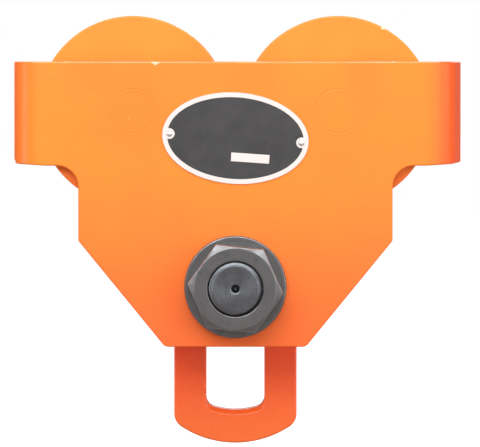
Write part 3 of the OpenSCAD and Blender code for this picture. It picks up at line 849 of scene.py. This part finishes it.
@dataclass
class Wheel:
    """One flanged wheel on its ball bearing and axle.

    Stations run inwards from the outer face of each, and a name that ends in _at is one. A name
    in _r is a radius, and one in _ease is a chamfer.
    """

    side: str
    end: str
    width: float = 42.0
    flange_r: float = 71.0
    flange_t: float = 10.0
    rim_r: float = 1.5
    root_r: float = 3.0
    tread_r: float = 58.0
    tread_end_r: float = 56.0
    tread_ease: float = 2.0
    bore_r: float = 23.0
    seat_r: float = 36.0
    seat_at: float = 11.0
    seat_ease: float = 1.2
    groove_r: float = 37.5
    groove_at: float = 30.0
    groove_w: float = 2.5
    spigot_r: float = 16.5
    spigot_ease: float = 0.8
    spigot_len: float = 10.0
    collar_r: float = 20.0
    collar_ease: float = 0.8
    shoulder_at: float = 24.0
    axle_r: float = 15.0
    clip_at: float = 43.0
    clip_t: float = 1.5
    clip_r: float = 14.3
    tail_at: float = 48.0
    tail_ease: float = 1.2
    centre_r: float = 4.25
    centre_depth: float = 9.0
    edge: float = 0.4
    axle_edge: float = 0.15
    segments: int = 180
    axle_segments: int = 96

    @property
    def corner(self) -> str:
        """Name of the wheel's corner."""
        return f"{self.side}_{self.end}"

    def section(self) -> np.ndarray:
        """Works out the wheel's half section.

        Straight lines between the turned diameters, with quarter arcs at the flange's rim and
        at the root of the tread.

        Returns:
            Radius and station of each corner, in order round the section.
        """
        rim = self.flange_r - self.rim_r
        return np.array([
            (self.bore_r, 0.0),
            *arc((rim, self.rim_r), self.rim_r, -90, 0),
            *arc((rim, self.flange_t - self.rim_r), self.rim_r, 0, 90),
            *arc((self.tread_r + self.root_r, self.flange_t + self.root_r), self.root_r, 270, 180),
            (self.tread_end_r, self.width - self.tread_ease),
            (self.tread_end_r - self.tread_ease, self.width),
            (self.seat_r + self.seat_ease, self.width),
            (self.seat_r, self.width - self.seat_ease),
            (self.seat_r, self.groove_at + self.groove_w),
            (self.groove_r, self.groove_at + self.groove_w),
            (self.groove_r, self.groove_at),
            (self.seat_r, self.groove_at),
            (self.seat_r, self.seat_at),
            (self.bore_r, self.seat_at)])

    def axle_section(self) -> np.ndarray:
        """Works out the axle's half section.

        Straight lines between the turned diameters, from the spigot's face to the bottom of the
        centre hole in the tail.

        Returns:
            Radius and station of each corner, from the plate's outer face inwards.
        """
        pilot = self.centre_r / 2
        return np.array([
            (self.spigot_r - self.spigot_ease, 0.0),
            (self.spigot_r, self.spigot_ease),
            (self.spigot_r, self.spigot_len),
            (self.collar_r - self.collar_ease, self.spigot_len),
            (self.collar_r, self.spigot_len + self.collar_ease),
            (self.collar_r, self.shoulder_at - self.collar_ease),
            (self.collar_r - self.collar_ease, self.shoulder_at),
            (self.axle_r, self.shoulder_at),
            (self.axle_r, self.clip_at),
            (self.clip_r, self.clip_at),
            (self.clip_r, self.clip_at + self.clip_t),
            (self.axle_r, self.clip_at + self.clip_t),
            (self.axle_r, self.tail_at - self.tail_ease),
            (self.axle_r - self.tail_ease, self.tail_at),
            (self.centre_r, self.tail_at),
            (pilot, self.tail_at - pilot / FALL_30),
            (pilot, self.tail_at - self.centre_depth + pilot)])

    def build(self, nodes: dict[str, bpy.types.Object]) -> None:
        """Makes the wheel and its axle, and dresses the bearing and the snap rings."""
        corner = self.corner
        low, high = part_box(f"wheel_{corner}")
        middle = middle_of(low, high)
        way = 1 if self.side == "front" else -1
        face = outer_face(self.side, low, high)
        section = self.section()
        disc = turned(section[:, 0], face + way * section[:, 1], middle, self.segments)
        make_piece(f"flanged_wheel_{corner}", disc, WHEEL_ENAMEL, Body.WHEEL.at(corner),
                   (f"wheel_{corner}",), self.edge)
        low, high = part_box(f"axle_{corner}")
        face = outer_face(self.side, low, high)
        section = self.axle_section()
        tips = (face, face + way * (self.tail_at - self.centre_depth))
        axle = turned(section[:, 0], face + way * section[:, 1], middle, self.axle_segments, tips)
        make_piece(f"shouldered_axle_{corner}", axle, AXLE_COAT.about(middle, self.end),
                   Body.FRAME.value, (f"axle_{corner}",), self.axle_edge)
        for node, finish, ease in (
                ("bearing_outer_ring", RING_STEEL, 0.15), ("bearing_inner_ring", RING_STEEL, 0.15),
                ("bearing_balls", BALL_STEEL, 0.0), ("bearing_cage", CAGE_STEEL, 0.1),
                ("bearing_shields", SHIELD_STEEL, 0.1), ("wheel_snap_ring", SPRING_STEEL, 0.2),
                ("axle_snap_ring", SPRING_STEEL, 0.2)):
            dress_node(nodes, f"{node}_{corner}", finish.about(middle, self.end), ease)


@dataclass
class LoadBolt:
    """Threaded stud across the plates, with its nuts and washers."""

    crest_r: float = 19.5
    pitch: float = 4.0
    thread_depth: float = 2.3
    thread_len: float = 44.0
    chamfer: float = 2.9
    hole_r: float = 4.25
    hole_depth: float = 9.0
    nut_flats: float = 61.5
    nut_face_r: float = 30.0
    nut_sink: float = 1.5
    nut_turn: float = -6.0
    nut_gap: float = 0.01
    nut_edge: float = 0.35
    washer_edge: float = 0.5
    spacer_edge: float = 0.3
    segments: int = 120
    row_step: float = 0.25

    def build(self, nodes: dict[str, bpy.types.Object]) -> None:
        """Makes the stud and its nuts and dresses the washers."""
        self.stud()
        for side in SIDES:
            self.nut(side)
            dress_node(nodes, f"outer_washers_{side}", BLACK_STEEL, self.washer_edge)
            dress_node(nodes, f"link_spacers_{side}", SPACER_STEEL, self.spacer_edge)

    def stud(self) -> None:
        """Makes the stud with a rolled thread at both ends.

        The thread's radius at angle a and distance s from the end is
        crest - depth clip((1 - |2 f - 1| - 1/8) / (5/8)), where f is the fraction that is left
        of s / pitch + a / 2 pi, or of s / pitch - a / 2 pi at the other end, for the same hand.
        The chamfer, 30 degrees off the face, cuts it to crest - chamfer + s / tan 30, and a
        short run-out brings it back to the crest. A centre hole is drilled into each end.
        """
        low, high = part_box("load_bolt")
        half = (high.y - low.y) / 2 / MM
        angle = angles(self.segments)
        s = np.arange(0.0, self.thread_len + self.row_step, self.row_step)[:, None]

        def thread(hand: float) -> np.ndarray:
            """Returns the radius of each row and segment of one end's thread."""
            f = np.mod(s / self.pitch + hand * angle / (2 * np.pi), 1.0)
            cut = np.clip((1 - np.abs(2 * f - 1) - 1 / 8) / (5 / 8), 0.0, 1.0)
            fade = np.clip((self.thread_len - s) / self.pitch, 0.0, 1.0)
            radius = self.crest_r - self.thread_depth * cut * fade
            return np.minimum(radius, self.crest_r - self.chamfer + s / FALL_30)

        pilot = self.hole_r / 2
        mouth = np.array([[pilot, self.hole_depth - pilot], [pilot, pilot / FALL_30],
                          [self.hole_r, 0.0]])
        hole_r = np.broadcast_to(mouth[:, :1], (len(mouth), self.segments))
        first = np.vstack((hole_r, thread(1.0)))
        last = np.vstack((hole_r, thread(-1.0)))[::-1]
        station = np.concatenate((mouth[:, 1], s[:, 0]))
        radius = np.vstack((first, last))
        stations = np.concatenate((station - half, (half - station)[::-1]))
        body = turned(radius, stations, middle_of(low, high), self.segments,
                      (self.hole_depth - half, half - self.hole_depth))
        make_piece("threaded_stud", body, STUD_STEEL, Body.FRAME.value,
                   ("load_bolt",))

    def nut(self, side: str) -> None:
        """Makes one hexagon nut, chamfered at 30 degrees on both faces.

        At angle a, the hexagon's radius is (flats / 2) / cos(b), where b is the angle from the
        nearest flat's middle, and the chamfer meets it (radius - face_r) tan 30 below the face.

        Args:
            side: front or rear.
        """
        low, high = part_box(f"load_bolt_nut_{side}")
        near, far = low.y / MM, high.y / MM
        turn = self.nut_turn if side == "front" else -self.nut_turn
        off = np.mod(angles(self.segments) - math.radians(turn), np.pi / 3) - np.pi / 6
        hexagon = self.nut_flats / 2 / np.cos(off)
        drop = (hexagon - self.nut_face_r) * FALL_30
        bore, face = self.crest_r + self.nut_gap, self.nut_face_r
        mouth = bore + self.nut_sink
        radius = np.stack(np.broadcast_arrays(mouth, face, hexagon, hexagon, face, mouth,
                                              bore, bore))
        station = np.stack(np.broadcast_arrays(near, near, near + drop, far - drop, far, far,
                                               far - self.nut_sink, near + self.nut_sink))
        steel = replace(NUT_STEEL, name=f"{NUT_STEEL.name}_{side}", flats=self.nut_flats,
                        turn=turn, face_r=face, face_at=max(-near, far))
        solid = turned(radius, station, middle_of(low, high), self.segments)
        make_piece(f"hexagon_nut_{side}", solid, steel, Body.FRAME.value,
                   (f"load_bolt_nut_{side}",), self.nut_edge)


@dataclass
class Link:
    """Slotted link that the hoist's hook goes through. Heights are from the bolt's axis."""

    half_w: float = 46.5
    half_t: float = 12.5
    drop: float = 122.0
    arc_r: float = 75.0
    corner_r: float = 12.0
    slot_half_w: float = 22.0
    slot_top: float = 40.0
    slot_floor: float = 97.0
    slot_arc_r: float = 57.0
    slot_corner_r: float = 8.0
    bore_r: float = 19.75
    edge: float = 1.0
    slot_edge: float = 0.8
    floor_edge: float = 3.2
    bore_edge: float = 0.5
    # The slot's chamfer starts to grow where the outline faces down by this much, of 1, and is
    # full this much further on
    floor_start: float = 0.3
    floor_run: float = 0.6
    # Rounding of the paint, which is at most so many times the width of the chamfer
    coat_r: float = 2.0
    coat_most: float = 1.5
    # Turn from one point of an arc to the next, in degrees
    fineness: float = 3.0

    def cup(self, half_w: float, corner: float, arc_r: float, floor: float) -> list[tuple]:
        """Works out the arcs of a U shape: a left corner, the floor and a right corner.

        The corners' centres lie where a circle of radius arc_r - corner about the floor's own
        centre has come half_w - corner out, so the arcs run into each other smoothly.

        Args:
            half_w: half the width between the straight sides.
            corner: radius of the corners.
            arc_r: radius of the floor.
            floor: height of the floor's lowest point.

        Returns:
            Centre x and z, radius, and first and last angle of each arc, in degrees.
        """
        centre = floor + arc_r
        out = half_w - corner
        turn = math.degrees(math.asin(out / (arc_r - corner)))
        low = centre - math.sqrt((arc_r - corner) ** 2 - out ** 2)
        return [(-out, low, corner, 180.0, 270.0 - turn),
                (0.0, centre, arc_r, 270.0 - turn, 270.0 + turn),
                (out, low, corner, 270.0 + turn, 360.0)]

    def loop(self, arcs: list[tuple]) -> tuple[np.ndarray, np.ndarray]:
        """Works out a closed outline from arcs, with straight lines between them.

        Point j of an arc is centre + radius (cos a, sin a), and its normal is (cos a, sin a).
        Where one arc runs straight into the next, the point that they share is kept once.

        Args:
            arcs: as cup gives them, in order round the outline.

        Returns:
            The points and their normals, as x and z.
        """
        points, normals = [], []
        for x, z, radius, start, end in arcs:
            a = np.radians(np.linspace(start, end, round((end - start) / self.fineness) + 1))
            normal = np.stack((np.cos(a), np.sin(a)), -1)
            points.append(np.array([x, z]) + radius * normal)
            normals.append(normal)
        line = np.vstack(points)
        apart = np.linalg.norm(line - np.roll(line, 1, 0), axis=1) > SAME_POINT
        return line[apart], np.vstack(normals)[apart]

    def wall(self, edge: np.ndarray) -> tuple[np.ndarray, np.ndarray]:
        """Works out the section of a wall through the link at every point of its outline.

        The edges are chamfered at 45 degrees, and the paint rounds both corners of a chamfer:
        a point of an arc is its centre + r (cos a, sin a), and its tangents are r tan 22.5 long.

        Args:
            edge: width of the chamfer at each point of the outline.

        Returns:
            Distance into the steel and y, with one row for each step from the front face to the
            rear one and one column for each point of the outline.
        """
        r = np.minimum(self.coat_r, self.coat_most * edge)
        reach = edge + r * math.tan(math.radians(45 / 2))
        near, far = (np.radians(np.linspace(a, a - 45, 5))[:, None] for a in (-90, -135))
        into = np.vstack((reach + r * np.cos(near), r + r * np.cos(far)))
        y = np.vstack((r + r * np.sin(near), reach + r * np.sin(far))) - self.half_t
        return np.vstack((into, into[::-1])), np.vstack((y, -y[::-1]))

    def surface(self) -> Surface:
        """Works out the link: three walls, each a section carried along an outline, and two faces.

        Point (i, j) of a wall is outline(j) + way d(i, j) normal(j) at depth y(i, j), where way
        is -1 round the outside and 1 round the slot and the bore. The slot's chamfer grows from
        its sides to its floor, by the smooth step of how far the outline faces down. The faces
        fill what lies between the walls' first and last rows.

        Returns:
            The closed surface, in place.
        """
        low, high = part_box("load_bolt")
        x, z = middle_of(low, high)
        out, up = self.slot_half_w - self.slot_corner_r, -self.slot_top - self.slot_corner_r
        outside = [(0.0, 0.0, self.half_w, 0.0, 180.0),
                   *self.cup(self.half_w, self.corner_r, self.arc_r, -self.drop)]
        slot = [(out, up, self.slot_corner_r, 0.0, 90.0),
                (-out, up, self.slot_corner_r, 90.0, 180.0),
                *self.cup(self.slot_half_w, self.slot_corner_r, self.slot_arc_r, -self.slot_floor)]
        bore = [(0.0, 0.0, self.bore_r, 0.0, 360.0 - self.fineness)]
        points, quads, rims = [], [], []
        count = 0
        for arcs, edge, floor_edge, way in ((outside, self.edge, self.edge, -1),
                                            (slot, self.slot_edge, self.floor_edge, 1),
                                            (bore, self.bore_edge, self.bore_edge, 1)):
            line, normal = self.loop(arcs)
            down = np.clip(-normal[:, 1] / self.floor_run - self.floor_start / self.floor_run,
                           0.0, 1.0)
            into, y = self.wall(edge + (floor_edge - edge) * down * down * (3 - 2 * down))
            flat = line + way * into[..., None] * normal
            grid = np.stack((flat[..., 0], y, flat[..., 1]), -1)
            number = count + np.arange(y.size).reshape(y.shape)
            quad = np.stack((number[:-1], np.roll(number[:-1], -1, 1),
                             np.roll(number[1:], -1, 1), number[1:]), -1).reshape(-1, 4)
            points.append(grid.reshape(-1, 3))
            quads.append(quad[:, ::way])
            rims.append(number[[0, -1]])
            count += number.size
        points = np.vstack(points) + (x, 0.0, z)
        tris = np.vstack([self.face(points, [rim[k] for rim in rims], k) for k in (0, 1)])
        return Surface(points, np.vstack(quads), tris).outward()

    def face(self, points: np.ndarray, rims: list[np.ndarray], rear: int) -> np.ndarray:
        """Fills one flat face between the link's outline and its two holes.

        Of a constrained Delaunay mesh, the triangles whose middle lies in a hole are left out.

        Args:
            points: all points of the link.
            rims: numbers of the points round the face and round its holes.
            rear: 0 for the front face and 1 for the rear one.

        Returns:
            The triangles, as rows of point numbers.
        """
        number = np.concatenate(rims)
        flat = points[number][:, [0, 2]]
        edges, start = [], 0
        for rim in rims:
            ring = start + np.arange(len(rim))
            edges += np.stack((ring, np.roll(ring, -1)), -1).tolist()
            start += len(rim)
        mesh = delaunay_2d_cdt([Vector(p) for p in flat], edges, [], 1, SAME_SPOT)
        corners = np.array([[mesh[3][k][0] for k in tri] for tri in mesh[2]])
        middle = flat[corners].mean(axis=1)
        keep = np.ones(len(corners), bool)
        for rim in rims[1:]:
            keep &= ~inside(middle, points[rim][:, [0, 2]])
        return number[corners[keep]][:, ::-1 if rear else 1]

    def build(self) -> None:
        """Makes the link."""
        make_piece("slotted_link", self.surface(), LINK_ENAMEL, Body.LINK.value,
                   ("suspension_link",))


@dataclass
class Nameplate:
    """Oval nameplate with its two drive rivets."""

    edge: float = 0.12
    rivet_edge: float = 0.1

    def build(self, nodes: dict[str, bpy.types.Object]) -> None:
        """Dresses the plate and its rivets."""
        dress_node(nodes, "nameplate", NAMEPLATE_PRINT, self.edge)
        dress_node(nodes, "nameplate_rivets", RIVET_ALUMINIUM, self.rivet_edge)


@dataclass(frozen=True)
class Softbox:
    """Studio lamp: a plain white area light, with its lengths in metres and power in watts."""

    name: str
    place: tuple[float, float, float]
    size: tuple[float, float]
    power: float
    aim: tuple[float, float, float] = (0.0, 0.0, 0.0)

    def build(self) -> None:
        """Hangs the lamp, turned towards what it lights."""
        data = bpy.data.lights.new(self.name, "AREA")
        data.shape = "RECTANGLE"
        data.size, data.size_y = self.size
        data.energy = self.power
        lamp = bpy.data.objects.new(self.name, data)
        lamp.location = self.place
        lamp.rotation_euler = (Vector(self.aim) - Vector(self.place)).to_track_quat(
            "-Z", "Y").to_euler()
        bpy.context.scene.collection.objects.link(lamp)


@dataclass
class Studio:
    """Camera, lamps, white surroundings and floor.

    The places of the camera and the height of the floor are in mm. Half the floor's width and
    how far the camera sees are in metres.
    """

    camera_at: tuple[float, float, float] = (0.0, -4088.0, 97.0)
    camera_aim: tuple[float, float, float] = (3.42, -88.0, -26.5)
    focal_px: float = 5376.0
    frame_px: int = 480
    sensor: float = 36.0
    sight: float = 60.0
    floor_z: float = -250.0
    floor_half: float = 6.0
    floor_colour: str = "A0A0A0"
    floor_glow: float = 0.62
    # Distances in metres at which the floor starts to turn white and is white
    floor_fade: tuple[float, float] = (0.22, 0.62)
    ambient: float = 0.5
    ambient_colour: tuple[float, float, float, float] = (1.0, 0.63, 0.5, 1.0)
    # How bright the mirrored horizon is, and the height, of 1, at which the sky is white
    horizon: float = 0.15
    zenith: float = 0.5
    # How bright the mirrored sheet is, and how far back, of 1, it starts and is full
    sheet: float = 0.35
    sheet_at: tuple[float, float] = (0.97, 0.985)
    lamps: tuple[Softbox, ...] = (
        Softbox("front softbox", (-0.45, -2.0, 0.75), (1.6, 0.6), 16.5),
        Softbox("fill softbox", (1.1, -1.9, 0.1), (0.8, 0.8), 8.0),
        Softbox("left softbox", (-2.1, -0.7, 0.25), (0.8, 1.0), 10.0),
        Softbox("right softbox", (2.1, -0.7, 0.25), (0.8, 1.0), 8.0),
        Softbox("overhead softbox", (0.45, -1.05, 1.4), (3.2, 0.7), 25.0, (0.45, 0.0, 0.0)),
        Softbox("rear softbox", (0.3, 1.9, 0.8), (1.4, 1.0), 12.0))

    def build(self) -> None:
        """Sets up everything that isn't part of the object."""
        self.camera()
        self.world()
        self.floor()
        for lamp in self.lamps:
            lamp.build()

    def camera(self) -> None:
        """Places the camera where the photograph was taken from."""
        data = bpy.data.cameras.new("photo camera")
        data.sensor_fit = "HORIZONTAL"
        data.sensor_width = self.sensor
        data.lens = self.focal_px * self.sensor / self.frame_px
        data.clip_end = self.sight
        obj = bpy.data.objects.new("photo camera", data)
        obj.location = Vector(self.camera_at) * MM
        way = (Vector(self.camera_aim) - Vector(self.camera_at)) * MM
        obj.rotation_euler = way.to_track_quat("-Z", "Y").to_euler()
        bpy.context.scene.collection.objects.link(obj)
        bpy.context.scene.camera = obj

    def world(self) -> None:
        """Makes the surroundings white to the eye and dimmer as a light.

        What glosses mirror is darker towards the horizon, as a studio is, apart from a pale
        sheet behind the object. That keeps upright faces of bare metal darker than their
        chamfers, and leaves a pale line where a surface is seen along its length.
        """
        world = bpy.data.worlds.new("studio")
        bpy.context.scene.world = world
        g = Graph(world)
        way = g.add("ShaderNodeTexCoord", out="Generated")
        sky = g.ease(g.part(way, "Z"), 0.0, self.zenith, self.horizon, 1.0)
        sheet = g.ease(g.part(way, "Y"), *self.sheet_at, 0.0, self.sheet)
        seen, level = self.backdrop(g, g.maths("MAXIMUM", sky, sheet))
        strength = g.add("ShaderNodeMix", {0: seen, 2: self.ambient, 3: level})
        colour = g.blend(seen, self.ambient_colour, WHITE)
        light = g.add("ShaderNodeBackground", {"Color": colour, "Strength": strength})
        g.add("ShaderNodeOutputWorld", {"Surface": light})

    def backdrop(self, g: Graph, mirrored: Value) -> tuple[Socket, Socket]:
        """Tells the rays that show the backdrop from those that only light the object.

        Args:
            g: the graph of the world or of the floor.
            mirrored: how bright the backdrop is in a reflection, where 1 is white.

        Returns:
            A factor that is 1 for camera, glossy and transmission rays, and how bright the
            backdrop is to such a ray.
        """
        camera, glossy, through = (g.add("ShaderNodeLightPath", out=f"Is {kind} Ray")
                                   for kind in ("Camera", "Glossy", "Transmission"))
        seen = g.maths("MAXIMUM", g.maths("MAXIMUM", camera, glossy), through)
        return seen, g.add("ShaderNodeMix", {0: glossy, 2: 1.0, 3: mirrored})

    def floor(self) -> None:
        """Lays a plain white floor, which keeps the object's shadow near it.

        Away from the object it turns into plain white, so that it has no horizon.
        """
        g = Graph(bpy.data.materials.new("white_paper_floor"))
        far = g.ease(g.length(g.place()), *self.floor_fade)
        glow = g.ramp(far, 0.0, 1.0, self.floor_glow, 1.0)
        seen, level = self.backdrop(g, self.horizon)
        white = g.maths("MULTIPLY", g.maths("MULTIPLY", seen, level), glow)
        paper = g.add("ShaderNodeBsdfDiffuse", {"Color": linear(self.floor_colour)})
        lit = g.add("ShaderNodeEmission", {"Color": WHITE, "Strength": white})
        g.finish(g.add("ShaderNodeAddShader", {0: paper, 1: lit}))
        mesh = bpy.data.meshes.new("floor")
        r, z = self.floor_half, self.floor_z * MM
        mesh.from_pydata([(-r, -r, z), (r, -r, z), (r, r, z), (-r, r, z)], [], [(0, 1, 2, 3)])
        mesh.materials.append(g.owner)
        obj = bpy.data.objects.new("floor", mesh)
        bpy.context.scene.collection.objects.link(obj)


def main() -> None:
    """Builds the studio and every sub-assembly, in order."""
    logging.basicConfig(level=logging.INFO, format="%(name)s: %(message)s")
    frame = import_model()
    nodes = frame["nodes"]
    bpy.context.scene.view_settings.view_transform = "Standard"
    Studio().build()
    SidePlates().build(nodes)
    for side in SIDES:
        for end in ENDS:
            Wheel(side, end).build(nodes)
    LoadBolt().build(nodes)
    Link().build()
    Nameplate().build(nodes)


if __name__ == "__main__":
    main()
